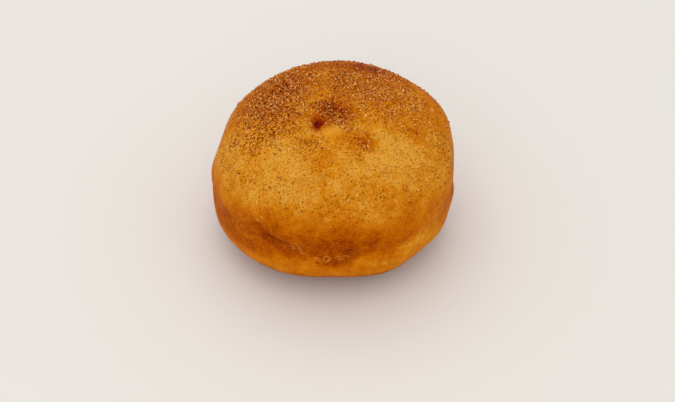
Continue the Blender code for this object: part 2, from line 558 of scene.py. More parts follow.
@dataclass(frozen=True)
class CastorSugar:
    """Castor sugar: small clear crystals whose colour is painted. Most grains take the crust's orange as if seen
    through them, a few get a pale painted glint, and their faces glint a little as well.
    """

    painted_glint: str = "#FFC86E"
    painted_see_through: str = "#CC6604"
    ior: float = 1.55
    glint_share: float = 0.07
    roughness: float = 0.25

    def build(self) -> bpy.types.Material:
        """Makes the material."""
        made, tree = new_material("castor_sugar")
        tint = add_node(tree, "ShaderNodeAttribute", {"attribute_name": "tint"}).outputs["Fac"]
        # The tint mixes the painted see-through colour, the crust's orange as seen through a clear crystal, with a pale
        # painted glint.
        colour = add_node(
            tree,
            "ShaderNodeMix",
            {"data_type": "RGBA", 6: linear(self.painted_see_through), 7: linear(self.painted_glint)},
            {0: tint},
        ).outputs[2]
        shader = add_node(
            tree,
            "ShaderNodeBsdfPrincipled",
            {
                "IOR": self.ior,
                "Specular IOR Level": self.glint_share,
                "Roughness": self.roughness,
                "Transmission Weight": 0.08,
            },
            {"Base Color": colour},
        )
        add_node(tree, "ShaderNodeOutputMaterial", links={"Surface": shader.outputs[0]})
        return made


@dataclass(frozen=True)
class GroundCinnamon:
    """Ground cinnamon bark: dry, matt, red-brown specks, some darker than others."""

    light: str = "#8A2A02"
    dark: str = "#461000"
    shine_share: float = 0.0
    roughness: float = 1.0

    def build(self) -> bpy.types.Material:
        """Makes the material."""
        made, tree = new_material("ground_cinnamon")
        tint = add_node(tree, "ShaderNodeAttribute", {"attribute_name": "tint"}).outputs["Fac"]
        colour = add_node(
            tree,
            "ShaderNodeMix",
            {"data_type": "RGBA", 6: linear(self.light), 7: linear(self.dark)},
            {0: tint},
        ).outputs[2]
        shader = add_node(
            tree,
            "ShaderNodeBsdfPrincipled",
            {"Specular IOR Level": self.shine_share, "Roughness": self.roughness},
            {"Base Color": colour},
        )
        add_node(tree, "ShaderNodeOutputMaterial", links={"Surface": shader.outputs[0]})
        return made


# ---------------------------------------------------------------- crust


@dataclass(frozen=True)
class Wrinkle:
    """A fine raised line on the crust, from one longitude and latitude to another in degrees."""

    start: tuple[float, float]
    end: tuple[float, float]
    width: float = 0.30 * MM
    height: float = 0.08 * MM


@dataclass(frozen=True)
class Blister:
    """A small bubble in the crust. A burst one is a ring with a pit in its middle."""

    longitude: float
    latitude: float
    radius: float
    height: float
    burst: bool = False


@dataclass
class Crust:
    """The fried skin over the whole dough."""

    form: DoughForm
    hole: PipingHole
    cells: int = 128
    up_focus: tuple[float, float] = (0.22, 85.0)
    hole_focus: tuple[float, float] = (0.60, 14.0)
    front_focus: tuple[float, float] = (0.62, 26.0)
    front: tuple[float, float] = (-97, 0)
    undulation: float = 0.10 * MM
    undulation_size: float = 6.5 * MM
    grain: float = 0.035 * MM
    grain_size: float = 1.8 * MM
    crease_depth: float = 0.12 * MM
    crease_width: float = 0.60 * MM
    crease: Turn = Turn(-118, 10, 1.0)
    wrinkles: tuple[Wrinkle, ...] = (
        Wrinkle((-111.1, 2.4), (-107.5, 1.2)),
        Wrinkle((-107.9, 3.6), (-104.7, 0.3)),
        Wrinkle((-109.7, 1.0), (-108.0, 0.4)),
        Wrinkle((-105.9, -0.3), (-103.6, -1.2)),
        Wrinkle((-99.3, -2.2), (-96.4, -2.9)),
        Wrinkle((-98.9, -3.1), (-97.3, -3.5)),
        Wrinkle((-89.8, -2.1), (-85.8, -1.3)),
        Wrinkle((-86.2, -1.1), (-81.9, -1.6)),
        Wrinkle((-88.0, -3.1), (-84.4, -3.0)),
        Wrinkle((-129.5, 11.0), (-127.3, 10.3)),
        Wrinkle((-126.7, 14.0), (-124.9, 13.6)),
    )
    blisters: tuple[Blister, ...] = (
        Blister(-92.9, -2.8, 1.5 * MM, 0.18 * MM, True),
        Blister(-97.8, -2.7, 0.9 * MM, 0.12 * MM),
        Blister(-58, -6, 0.9 * MM, 0.16 * MM),
        Blister(-65, -9.5, 0.9 * MM, 0.14 * MM, True),
        Blister(-61, -8, 0.5 * MM, 0.10 * MM),
        Blister(-130, 9, 0.6 * MM, 0.12 * MM),
        Blister(-139, 8, 0.7 * MM, 0.14 * MM),
        Blister(-55, 3, 0.5 * MM, 0.12 * MM),
        Blister(-80, 9, 0.5 * MM, 0.10 * MM),
    )
    small_blisters: int = 150
    seed: int = 7
    belt_foot: float = 18.5 * MM
    belt_foot_turns: tuple[Turn, ...] = (
        Turn(-62, 16, 3.4 * MM),
        Turn(-146, 18, -4.4 * MM),
        Turn(-88, 12, -2.5 * MM),
        Turn(-102, 10, 2.4 * MM),
        Turn(-25, 14, -3.0 * MM),
    )
    belt_head: float = 36.5 * MM
    belt_head_turns: tuple[Turn, ...] = (Turn(-110, 25, 1.0 * MM), Turn(-45, 16, 4.0 * MM), Turn(-155, 15, -4.0 * MM))
    belt_browning: float = 0.40
    belt_turns: tuple[Turn, ...] = (
        Turn(-125, 26, 0.05),
        Turn(-82, 18, 0.12),
        Turn(-40, 25, -0.14),
        Turn(60, 50, 0.08),
    )
    patches: tuple[Spot, ...] = (
        Spot(-128, 44, 0.0065, -0.14),
        Spot(-49, 46, 0.0080, -0.16),
        Spot(-90, 69, 0.0035, -0.14),
        Spot(123, 72, 0.0050, -0.12),
        Spot(-114, 32, 0.0090, -0.10),
        Spot(-88, 40, 0.0050, -0.06),
        Spot(-103, 42, 0.0030, 0.12),
        Spot(-100, 49, 0.0035, 0.10),
        Spot(-119, 54, 0.0045, 0.14),
        Spot(-85, 61, 0.0040, 0.12),
        Spot(-68, 60, 0.0030, 0.24),
        Spot(-60, 55, 0.0030, 0.28),
        Spot(-46, 31, 0.0050, 0.08),
        Spot(-136, 75, 0.0050, 0.18),
        Spot(-30, 86, 0.0035, 0.30),
        Spot(154, 83, 0.0030, 0.30),
        Spot(-65, 79, 0.0030, 0.25),
        Spot(168, 48, 0.0090, 0.20),
        Spot(139, 52, 0.0070, 0.22),
        Spot(20, 47, 0.0060, -0.13),
        Spot(31, 58, 0.0050, -0.10),
        Spot(-8, 46, 0.0050, -0.08),
        Spot(-26, 44, 0.0045, 0.11),
        Spot(-152, 45, 0.0050, -0.09),
        Spot(-169, 27, 0.0060, -0.10),
        Spot(178, 63, 0.0045, -0.24),
        Spot(-149, 56, 0.0040, 0.08),
        Spot(-62, 53, 0.0035, 0.05),
        Spot(73, 35, 0.0060, 0.12),
        Spot(104, 36, 0.0070, 0.12),
        Spot(47, 35, 0.0060, 0.14),
        Spot(63, 47, 0.0040, 0.12),
        Spot(32, 42, 0.0025, 0.14),
        Spot(108, 55, 0.0050, -0.12),
        Spot(59, 58, 0.0045, -0.07),
        Spot(92, 46, 0.0045, 0.24),
        Spot(78, 46, 0.0045, 0.30),
        Spot(62, 43, 0.0050, 0.24),
        Spot(-157, 76, 0.0016, 0.22),
        Spot(-174, 80, 0.0018, 0.24),
        Spot(164, 82, 0.0018, 0.22),
        Spot(-168, 85, 0.0018, 0.28),
        Spot(175, 88, 0.0016, 0.18),
        Spot(-81, 86, 0.0015, 0.22),
        Spot(-68, 81, 0.0018, 0.18),
        Spot(-97, -5.9, 0.0007, 0.45),
        Spot(-121, 14, 0.0050, 0.08),
        Spot(-99, 18, 0.0045, 0.12),
        Spot(-131, 24, 0.0060, -0.08),
        Spot(-85, 16, 0.0060, 0.14),
        Spot(-113, 22, 0.0040, 0.12),
        Spot(-87, 29, 0.0040, 0.08),
        Spot(-70, 24, 0.0050, 0.10),
        Spot(-56, 17, 0.0035, 0.10),
        Spot(-53, -6, 0.0050, -0.08),
        Spot(-169, 60, 0.0050, 0.12),
        Spot(-154, 43, 0.0050, 0.10),
        Spot(-18, 48, 0.0060, 0.10),
        Spot(-70, 42, 0.0040, -0.08),
        Spot(-43, 39, 0.0055, -0.12),
        Spot(-54, 33, 0.0040, -0.10),
        Spot(-74, 18, 0.0050, -0.16),
        Spot(-31, 19, 0.0050, -0.08),
        Spot(-42, -5, 0.0070, -0.12),
    )
    smears: tuple[Spot, ...] = (
        Spot(-124, 67, 0.0015, 0.40),
        Spot(-131, 69, 0.0014, 0.30),
        Spot(-118, 80, 0.0018, 0.20),
    )
    material: bpy.types.Material = field(default_factory=lambda: FriedCrust().build())

    def focused(self, rays: Array, towards: Array, focus: tuple[float, float]) -> Array:
        """Draws rays together round one direction, so that the mesh is finer there.

        Args:
            rays: Unit vectors, one a row.
            towards: The direction, as a unit vector.
            focus: The share that the nearest rays are drawn in by, and the reach in degrees.

        Returns:
            The new unit vectors.
        """
        share, reach = focus
        along = np.clip(rays @ towards, -1, 1)
        angle = np.arccos(along)
        side = rays - along[:, None] * towards
        length = np.linalg.norm(side, axis=1, keepdims=True)
        side = side / np.maximum(length, 1e-9)
        angle = angle * (1 - share * bell(np.degrees(angle), reach))
        return np.cos(angle)[:, None] * towards + np.sin(angle)[:, None] * side

    def ball(self) -> tuple[Array, Array]:
        """Rays and four-sided faces of a ball made from an evenly divided cube."""
        cube = bmesh.new()
        bmesh.ops.create_cube(cube, size=2)
        bmesh.ops.subdivide_edges(cube, edges=cube.edges[:], cuts=self.cells - 1, use_grid_fill=True)
        points = np.array([v.co for v in cube.verts])
        faces = np.array([[v.index for v in face.verts] for face in cube.faces])
        cube.free()
        points = np.tan(points * math.pi / 4)
        rays = points / np.linalg.norm(points, axis=1, keepdims=True)
        rays = self.focused(rays, heading(0, 90)[0], self.up_focus)
        to_mouth = self.hole.mouth - self.form.heart()
        rays = self.focused(rays, to_mouth / np.linalg.norm(to_mouth), self.hole_focus)
        return self.focused(rays, heading(*self.front)[0], self.front_focus), faces

    def near_line(self, points: Array, start: Array, end: Array) -> tuple[Array, Array]:
        """Distance from a straight line, and the share of the way along it, for each point."""
        way = end - start
        share = np.clip((points - start) @ way / (way @ way), 0, 1)
        return np.linalg.norm(points - start - share[:, None] * way, axis=1), share

    def blister_list(self) -> list[Blister]:
        """The named blisters, and many small ones along the waist."""
        rng = np.random.default_rng(self.seed)
        out = list(self.blisters)
        for _ in range(self.small_blisters):
            size = rng.uniform(0.25, 0.55) * MM
            out.append(Blister(rng.uniform(-180, 180), rng.normal(2, 11), size, size * rng.uniform(0.08, 0.18)))
        return out

    def fine_relief(self, points: Array, longitudes: Array, above: Array) -> tuple[Array, Array, Array]:
        """Relief finer than the solid's, and what it does to the crust's gloss and colour: painted shade in the crease
        and in burst pits, and paler ridges and domes that are partly painted glints.

        Args:
            points: Places on the dough.
            longitudes: Their longitudes in degrees.
            above: Their heights over the seam.

        Returns:
            The height, the gloss and the change in colour at each point, with painted shade and glints included.
        """
        relief = self.undulation * mottle(points, self.undulation_size, 3.1)
        relief += self.grain * mottle(points, self.grain_size, 9.7)
        creased = self.crease.at(longitudes) * bell(above, self.crease_width)
        relief -= self.crease_depth * creased
        gloss = 0.15 * self.crease.at(longitudes) * bell(above + MM, 2.5 * MM)
        # Painted shade: the crease and a narrow band just under it are darkened in colour.
        tone = 0.20 * creased + 0.08 * self.crease.at(longitudes) * bell(above + 1.5 * MM, 2 * MM)
        for wrinkle in self.wrinkles:
            start, end = self.form.on_skin(*wrinkle.start), self.form.on_skin(*wrinkle.end)
            away, share = self.near_line(points, start, end)
            ridge = bell(away, wrinkle.width) * np.sin(math.pi * np.clip(share, 0.02, 0.98)) ** 0.5
            relief += wrinkle.height * ridge
            gloss += 0.4 * bell(away, 2 * wrinkle.width)
            # Ridges are made paler in colour: partly paler raised skin, partly painted glints.
            tone -= 0.06 * ridge
        for blister in self.blister_list():
            middle = self.form.on_skin(blister.longitude, blister.latitude)
            away = np.linalg.norm(points - middle, axis=1) / blister.radius
            dome = np.where(away < 1, (1 - np.minimum(away, 1) ** 2) ** 2, 0)
            if blister.burst:
                dome = 0.6 * bell(away - 0.75, 0.35) - bell(away, 0.40)
            relief += blister.height * dome
            gloss += 0.25 * bell(away, 1.0)
            # Colour follows the dome. Raised skin is paler, partly paler skin and partly painted glints, and a burst
            # blister's pit is darker, as painted shade.
            tone -= (0.9 * blister.height / MM) * dome
        return relief, np.clip(gloss, 0, 1), tone

    def browning_and_shade(self, points: Array, longitudes: Array) -> Array:
        """How brown the crust's colour is, from 0, pale, to 1, dark, with painted shade towards the foot included.

        Args:
            points: Places on the dough.
            longitudes: Their longitudes in degrees.

        Returns:
            One value a point.
        """
        _, y, z = points.T
        waver = 2.0 * MM * mottle(points, 12 * MM, 5.5)
        foot = z + waver - self.belt_foot - sum(turn.at(longitudes) for turn in self.belt_foot_turns)
        head = z + waver - self.belt_head - sum(turn.at(longitudes) for turn in self.belt_head_turns)
        strength = self.belt_browning + sum(turn.at(longitudes) for turn in self.belt_turns)
        brown = 0.15 + 0.06 * mottle(points, 14 * MM, 1.3)
        brown += strength * smooth(foot, -4.0 * MM, 5.0 * MM) * (1 - smooth(head, -9.5 * MM, 6.5 * MM))
        brown += 0.22 * smooth(y, -14 * MM, 14 * MM) * smooth(z, 34 * MM, 48 * MM)
        # Below the belt the underside turns darker, partly the real colour of the fried underside and partly painted
        # shade. From 12.5 mm down to the foot it darkens further: painted shade where the crust curves under towards
        # the floor.
        brown += 0.17 * smooth(-foot, -2 * MM, 4 * MM) + 0.38 * smooth(-z, -12.5 * MM, -5.5 * MM)
        for patch in self.patches:
            brown += self.form.spot_at(points, patch)
        return np.clip(brown, 0, 1)

    def build(self, offset: Array, toppings: "Toppings") -> bpy.types.Object:
        """Makes the crust.

        Args:
            offset: From the form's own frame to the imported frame.
            toppings: What lies on it, for the dust between the grains.

        Returns:
            The piece.
        """
        rays, faces = self.ball()
        points = self.form.surface(rays)
        longitudes = np.degrees(np.arctan2(rays[:, 1], rays[:, 0]))
        above = self.form.over_seam(points, longitudes)
        relief, gloss, tone = self.fine_relief(points, longitudes, above)
        mesh = mesh_from("dough_crust", points, faces)
        normals = np.zeros(len(points) * 3, np.float32)
        mesh.vertex_normals.foreach_get("vector", normals)
        out = points + normals.reshape(-1, 3) * relief[:, None]
        down = self.hole.sunk(points)
        out -= self.hole.axis * down[:, None]
        out[:, 2] = np.maximum(out[:, 2], 0)
        top = points[:, 2] > self.form.waist_height
        inside = smooth(down, 1.7 * MM, 3.6 * MM) * top
        soaked = 0.38 * bell(np.maximum(self.hole.share(points) - 1, 0), 1.1) + 0.30 * self.hole.basin(points)
        for smear in self.smears:
            soaked += self.form.spot_at(points, smear)
        patchy = 1 + 0.5 * mottle(points, 1.6 * MM, 8.8)
        stain = np.clip(0.75 * inside + soaked * patchy * top, 0, 1)
        store(mesh, Field.BROWNING_AND_SHADE.value, self.browning_and_shade(points, longitudes) + tone)
        store(mesh, Field.DUST.value, toppings.cover(points, Topping.CINNAMON) * (1 - inside))
        store(mesh, Field.STAIN.value, stain)
        store(mesh, Field.GLOSS.value, np.clip(gloss + 0.3 * inside, 0, 1))
        mesh.vertices.foreach_set("co", (out + offset).astype(np.float32).ravel())
        mesh.update()
        mesh.materials.append(self.material)
        return put("dough_crust", mesh, "crust", "dough")


@dataclass
class Puckers:
    """The sharp edges of wrinkles and burst blisters, finer than the crust's own mesh, and short nicks between."""

    crust: Crust
    radius: float = 0.22 * MM
    ring_share: float = 0.80
    sunk: float = 0.30
    bend: float = 0.30
    steps: int = 24
    sides: int = 8
    pale_and_glint: float = 0.30
    sheen: float = 2.4
    nicks: int = 90
    nick_length: tuple[float, float] = (0.4 * MM, 1.3 * MM)
    seed: int = 5

    def line(self, wrinkle: Wrinkle, share_of_size: float = 1.0) -> tuple[Array, Array]:
        """A wrinkle's longitudes and latitudes along its length, and its tapering radii."""
        share = np.linspace(0, 1, self.steps)[:, None]
        arch = np.sin(math.pi * share)
        track = np.array(wrinkle.start) * (1 - share) + np.array(wrinkle.end) * share
        track[:, 1:] += self.bend * arch
        return track, share_of_size * self.radius * np.maximum(arch[:, 0], 0.02) ** 0.6

    def nick_list(self) -> list[tuple[Array, Array]]:
        """Short puckers strewn along the waist, half of them at its front left."""
        rng = np.random.default_rng(self.seed)
        out = []
        for number in range(self.nicks):
            longitude = rng.normal(-138, 9) if number % 2 else rng.uniform(-180, 180)
            latitude, slope = rng.normal(6, 6), rng.uniform(-0.9, 0.3)
            length = math.degrees(rng.uniform(*self.nick_length) / self.crust.form.radius)
            end = (longitude + length * math.cos(slope), latitude + length * math.sin(slope))
            out.append(self.line(Wrinkle((longitude, latitude), end), rng.uniform(0.45, 0.75)))
        return out

    def ring(self, blister: Blister) -> tuple[Array, Array]:
        """A burst blister's longitudes and latitudes round its rim, and its uneven radii."""
        turn = np.linspace(0, 2 * math.pi, self.steps, endpoint=False)
        reach = math.degrees(self.ring_share * blister.radius / self.crust.form.radius)
        wavy = reach * (1 + 0.12 * np.sin(2 * turn) + 0.08 * np.cos(3 * turn))
        track = np.column_stack((blister.longitude + wavy * np.cos(turn), blister.latitude + wavy * np.sin(turn)))
        return track, self.radius * (1.1 + 0.3 * np.sin(turn + 2))

    def tube(self, skin: BVHTree, offset: Array, track: Array, radii: Array, closed: bool) -> tuple[Array, Array]:
        """Lays a half-sunk tube on the crust.

        Args:
            skin: The crust's faces.
            offset: From the form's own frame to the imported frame.
            track: Longitudes and latitudes, one pair a row.
            radii: The tube's radius at each pair.
            closed: Whether its end meets its start.

        Returns:
            The points and the four-sided faces.
        """
        found = [skin.find_nearest(Vector(self.crust.form.on_skin(*pair) + offset)) for pair in track]
        middles, normals = np.array([hit[0] for hit in found]), np.array([hit[1] for hit in found])
        ways = np.roll(middles, -1, 0) - np.roll(middles, 1, 0) if closed else np.gradient(middles, axis=0)
        across = np.cross(ways / np.linalg.norm(ways, axis=1, keepdims=True), normals)
        turns = np.linspace(0, 2 * math.pi, self.sides, endpoint=False)[None, :, None]
        round_it = np.cos(turns) * across[:, None] + (np.sin(turns) - self.sunk) * normals[:, None]
        points = middles[:, None] + radii[:, None, None] * round_it
        count = len(track)
        i, j = np.meshgrid(np.arange(count if closed else count - 1), np.arange(self.sides), indexing="ij")
        here, there, after = i * self.sides, (i + 1) % count * self.sides, (j + 1) % self.sides
        faces = np.stack((here + j, there + j, there + after, here + after), axis=-1)
        return points.reshape(-1, 3), faces.reshape(-1, 4)

    def build(self, skin_piece: bpy.types.Object, offset: Array) -> bpy.types.Object:
        """Makes the puckers as one mesh.

        Args:
            skin_piece: The crust that they lie on.
            offset: From the form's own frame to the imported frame.

        Returns:
            The piece.
        """
        corners = [v.co for v in skin_piece.data.vertices]
        skin = BVHTree.FromPolygons(corners, [tuple(face.vertices) for face in skin_piece.data.polygons])
        tracks = [(*self.line(wrinkle), False) for wrinkle in self.crust.wrinkles]
        tracks += [(*nick, False) for nick in self.nick_list()]
        tracks += [(*self.ring(blister), True) for blister in self.crust.blisters if blister.burst]
        points, faces = np.zeros((0, 3)), np.zeros((0, 4), int)
        for track, radii, closed in tracks:
            more, its_faces = self.tube(skin, offset, track, radii, closed)
            faces = np.vstack((faces, its_faces + len(points)))
            points = np.vstack((points, more))
        mesh = mesh_from("crust_puckers", points, faces)
        own = points - offset
        middle = own - self.crust.form.heart()
        longitudes = np.degrees(np.arctan2(middle[:, 1], middle[:, 0]))
        # The puckers are paler than the crust round them: partly paler raised skin, partly painted glints.
        store(mesh, Field.BROWNING_AND_SHADE.value, self.crust.browning_and_shade(own, longitudes) - self.pale_and_glint)
        store(mesh, Field.GLOSS.value, np.full(len(points), self.sheen))
        for empty in (Field.DUST, Field.STAIN):
            store(mesh, empty.value, np.zeros(len(points)))
        mesh.materials.append(self.crust.material)
        return put("crust_puckers", mesh, "crust")


# ---------------------------------------------------------------- jelly


@dataclass(frozen=True)
class Smear:
    """A drop of jelly: its place across the hole and along its axis, and its three half sizes, in metres."""

    across: float
    ahead: float
    out: float
    size: tuple[float, float, float]


@dataclass
class Jelly:
    """The jelly that fills the piping hole and has welled up to its lip."""

    hole: PipingHole
    voxel: float = 0.14 * MM
    level: float = -1.9 * MM
    stem_radius: float = 1.5 * MM
    smears: tuple[Smear, ...] = (
        Smear(0.0, 0.0, -2.3 * MM, (1.3 * MM, 2.4 * MM, 0.7 * MM)),
        Smear(0.5 * MM, 0.8 * MM, -1.9 * MM, (0.9 * MM, 1.0 * MM, 0.5 * MM)),
        Smear(-0.4 * MM, -2.1 * MM, -1.05 * MM, (0.6 * MM, 0.5 * MM, 0.25 * MM)),
        Smear(-1.2 * MM, -2.6 * MM, -0.60 * MM, (0.5 * MM, 0.35 * MM, 0.18 * MM)),
    )
    material: bpy.types.Material = field(default_factory=lambda: FruitJelly().build())

    def build(self, offset: Array) -> bpy.types.Object:
        """Makes the jelly.

        Args:
            offset: From the form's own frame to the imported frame.

        Returns:
            The piece.
        """
        shape = bmesh.new()
        for smear in self.smears:
            made = bmesh.ops.create_icosphere(shape, subdivisions=3, radius=1)["verts"]
            bmesh.ops.scale(shape, verts=made, vec=smear.size)
            bmesh.ops.translate(shape, verts=made, vec=(smear.across, smear.ahead, smear.out))
        depth = self.hole.reach + self.level - 0.5 * MM
        stem = bmesh.ops.create_cone(
            shape, cap_ends=True, segments=24, radius1=self.stem_radius * 0.8, radius2=self.stem_radius, depth=depth
        )["verts"]
        bmesh.ops.translate(shape, verts=stem, vec=(0, 0, self.level - depth / 2))
        rough = bpy.data.meshes.new("jelly_rough")
        shape.to_mesh(rough)
        shape.free()
        holder = bpy.data.objects.new("jelly_rough", rough)
        bpy.context.scene.collection.objects.link(holder)
        joined = holder.modifiers.new("joined", "REMESH")
        joined.mode, joined.voxel_size = "VOXEL", self.voxel
        soft = holder.modifiers.new("soft", "SMOOTH")
        soft.factor, soft.iterations = 0.6, 8
        graph = bpy.context.evaluated_depsgraph_get()
        mesh = bpy.data.meshes.new_from_object(holder.evaluated_get(graph))
        bpy.data.objects.remove(holder)
        points = np.array([v.co for v in mesh.vertices])
        points[:, 2] += 0.12 * MM * mottle(points, 1.3 * MM, 2.2)
        placed = self.hole.mouth + points @ np.array([*self.hole.sides(), self.hole.axis]) + offset
        mesh.vertices.foreach_set("co", placed.astype(np.float32).ravel())
        mesh.name = "jelly_filling"
        mesh.shade_smooth()
        mesh.update()
        mesh.materials.clear()
        mesh.materials.append(self.material)
        return put("jelly_filling", mesh, "jelly", "jelly")


# ---------------------------------------------------------------- toppings


@dataclass(frozen=True)
class Cover:
    """A place where a topping lies thicker: a point on the dough, a reach, and grains to the square millimetre."""

    x: float
    y: float
    reach: float
    sugar: float
    cinnamon: float


@dataclass
class Toppings:
    """Sugar and cinnamon shaken over the crown, thickest at its back and left."""

    form: DoughForm
    hole: PipingHole
    seed: int = 11
    covers: tuple[Cover, ...] = (
        Cover(-0.0263, 0.0055, 0.0075, 1.00, 2.40),
        Cover(-0.0180, 0.0159, 0.0070, 1.20, 2.60),
        Cover(-0.0122, 0.0080, 0.0045, 1.00, 1.20),
        Cover(-0.0300, -0.0060, 0.0080, 0.20, 0.70),
        Cover(-0.0180, -0.0030, 0.0070, 0.20, 1.80),
        Cover(-0.0250, -0.0120, 0.0060, 0.08, 1.20),
        Cover(0.0025, 0.0165, 0.0090, 0.70, 0.90),
        Cover(0.0156, 0.0179, 0.0090, 0.90, 0.60),
        Cover(0.0210, 0.0086, 0.0080, 0.60, 0.40),
        Cover(0.0285, 0.0105, 0.0080, 0.30, 0.00),
        Cover(0.0350, -0.0040, 0.0080, 0.08, 0.15),
        Cover(-0.0052, 0.0024, 0.0022, 0.20, 4.00),
        Cover(-0.0024, 0.0008, 0.0024, 0.50, 6.00),
        Cover(0.0004, -0.0026, 0.0024, 0.80, 5.00),
        Cover(0.0034, -0.0064, 0.0024, 1.60, 2.60),
        Cover(0.0054, -0.0105, 0.0022, 0.80, 2.00),
        Cover(-0.0040, -0.0052, 0.0014, 1.60, 0.60),
        Cover(0.0107, -0.0189, 0.0028, 0.50, 1.60),
        Cover(-0.0100, -0.0186, 0.0050, 0.05, 1.20),
        Cover(-0.0056, 0.0087, 0.0040, -0.20, -1.10),
        Cover(-0.0007, -0.0123, 0.0034, -0.30, -1.20),
        Cover(0.0050, 0.0285, 0.0055, -1.00, -0.60),
        Cover(0.0140, 0.0260, 0.0045, -1.00, -0.60),
        Cover(0.0270, 0.0175, 0.0030, -0.50, -0.20),
    )
    sugar_size: tuple[float, float] = (0.32 * MM, 0.78 * MM)
    cinnamon_size: tuple[float, float] = (0.20 * MM, 0.80 * MM)
    unevenness: float = 0.22
    most: dict[Topping, int] = field(default_factory=lambda: {Topping.SUGAR: 9000, Topping.CINNAMON: 22000})

    def cover(self, points: Array, kind: Topping) -> Array:
        """How thickly a topping lies at each point, in grains to the square millimetre."""
        x, y, z = points.T
        sugar = kind is Topping.SUGAR
        crown = smooth(z, 36 * MM, 50 * MM) if sugar else smooth(z, 30 * MM, 46 * MM)
        back = smooth(y, -18 * MM, 6 * MM)
        out = (0.015 + 0.50 * back if sugar else 0.62 + 0.62 * back) * crown
        for cover in self.covers:
            strength = cover.sugar if sugar else cover.cinnamon
            out = out + strength * bell(np.hypot(x - cover.x, y - cover.y), cover.reach) * crown
        clumps = 1 + 0.55 * mottle(points, 4 * MM, 7.7) + 0.35 * mottle(points, 1.5 * MM, 4.4)
        clear = smooth(self.hole.share(points), 1.1, 2.4) + (z < self.form.waist_height)
        thinner = 1 - 0.75 * smooth(np.hypot(x, y), 29 * MM, 40 * MM) * smooth(y, -12 * MM, 0)
        return np.maximum(out * clumps * clear * thinner, 0)

    def crystal(self) -> tuple[Array, Array]:
        """The points and faces of one sugar crystal: a block with its faces as triangles."""
        block = bmesh.new()
        bmesh.ops.create_cube(block, size=1)
        bmesh.ops.triangulate(block, faces=block.faces[:])
        return self.shape_of(block)

    def flake(self) -> tuple[Array, Array]:
        """The points and faces of one speck of bark: a chip with eight sides."""
        chip = bmesh.new()
        bmesh.ops.create_uvsphere(chip, u_segments=4, v_segments=2, radius=0.5)
        return self.shape_of(chip)

    def shape_of(self, shape: bmesh.types.BMesh) -> tuple[Array, Array]:
        """Reads a small shape's points and triangles, and frees it."""
        shape.verts.index_update()
        points = np.array([v.co for v in shape.verts])
        faces = np.array([[v.index for v in face.verts] for face in shape.faces])
        shape.free()
        return points, faces

    def turns(self, rng: np.random.Generator, count: int) -> Array:
        """Random rotations, as matrices."""
        q = rng.normal(size=(count, 4))
        q /= np.linalg.norm(q, axis=1, keepdims=True)
        w, x, y, z = q.T
        rows = [
            [1 - 2 * (y * y + z * z), 2 * (x * y - w * z), 2 * (x * z + w * y)],
            [2 * (x * y + w * z), 1 - 2 * (x * x + z * z), 2 * (y * z - w * x)],
            [2 * (x * z - w * y), 2 * (y * z + w * x), 1 - 2 * (x * x + y * y)],
        ]
        return np.moveaxis(np.array(rows), 2, 0)

    def places(
        self, crust: bpy.types.Object, offset: Array, kind: Topping, rng: np.random.Generator
    ) -> tuple[Array, Array]:
        """Chooses where the grains lie.

        Args:
            crust: The crust that they lie on.
            offset: From the form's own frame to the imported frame.
            kind: The topping.
            rng: The source of chance.

        Returns:
            The places and the normals there.
        """
        mesh = crust.data
        count = len(mesh.polygons)
        areas, centres, normals = np.zeros(count), np.zeros(count * 3), np.zeros(count * 3)
        mesh.polygons.foreach_get("area", areas)
        mesh.polygons.foreach_get("center", centres)
        mesh.polygons.foreach_get("normal", normals)
        centres, normals = centres.reshape(-1, 3), normals.reshape(-1, 3)
        hopes = areas / MM**2 * self.cover(centres - offset, kind)
        hopes[normals[:, 2] < 0.15] = 0
        hopes *= min(1, self.most[kind] / hopes.sum())
        chosen = np.repeat(np.arange(count), rng.poisson(hopes))
        corners = np.zeros(count * 4, int)
        mesh.polygons.foreach_get("vertices", corners)
        points = np.zeros(len(mesh.vertices) * 3)
        mesh.vertices.foreach_get("co", points)
        quads = points.reshape(-1, 3)[corners.reshape(-1, 4)[chosen]]
        u, v = rng.random((2, len(chosen), 1))
        low = quads[:, 0] * (1 - u) + quads[:, 1] * u
        high = quads[:, 3] * (1 - u) + quads[:, 2] * u
        return low * (1 - v) + high * v, normals[chosen]

    def build(self, crust: bpy.types.Object, offset: Array, kind: Topping) -> bpy.types.Object:
        """Makes one topping as one joined mesh.

        Args:
            crust: The crust that it lies on.
            offset: From the form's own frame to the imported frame.
            kind: The topping.

        Returns:
            The piece.
        """
        sugar = kind is Topping.SUGAR
        rng = np.random.default_rng(self.seed + sugar)
        places, normals = self.places(crust, offset, kind, rng)
        points, faces = self.crystal() if sugar else self.flake()
        low, high = self.sugar_size if sugar else self.cinnamon_size
        count = len(places)
        length = low + (high - low) * rng.beta(1.6, 3.0, count)
        least, most = (0.6, 1.0) if sugar else ((0.6, 0.4, 0.3), (1.3, 1.0, 0.6))
        shares = rng.uniform(least, most, (count, 3))
        sizes = length[:, None] * shares
        uneven = points[None] * (1 + self.unevenness * rng.uniform(-1, 1, (count, len(points), 1)))
        grains = np.einsum("nij,nkj->nki", self.turns(rng, count), uneven * sizes[:, None])
        proud = 0.30 * sizes.min(axis=1, keepdims=True)
        grains += (places + normals * proud)[:, None]
        all_faces = faces[None] + len(points) * np.arange(count)[:, None, None]
        mesh = mesh_from(kind.value, grains.reshape(-1, 3), all_faces.reshape(-1, 3))
        mesh.shade_flat()
        # For sugar the tint is raised to a power so that only a few grains get the pale painted glint. For cinnamon it
        # spreads evenly between light and dark bark.
        store(mesh, "tint", np.repeat(rng.random(count) ** (2.4 if sugar else 1.0), len(points)))
        mesh.materials.append(CastorSugar().build() if sugar else GroundCinnamon().build())
        return put(kind.value, mesh, "crust")


# ---------------------------------------------------------------- studio


@dataclass(frozen=True)
class Lamp:
    """A soft lamp: its place, its side in metres, its power in watts and its colour."""

    name: str
    place: tuple[float, float, float]
    side: float
    power: float
    colour: str = "#FFFFFF"


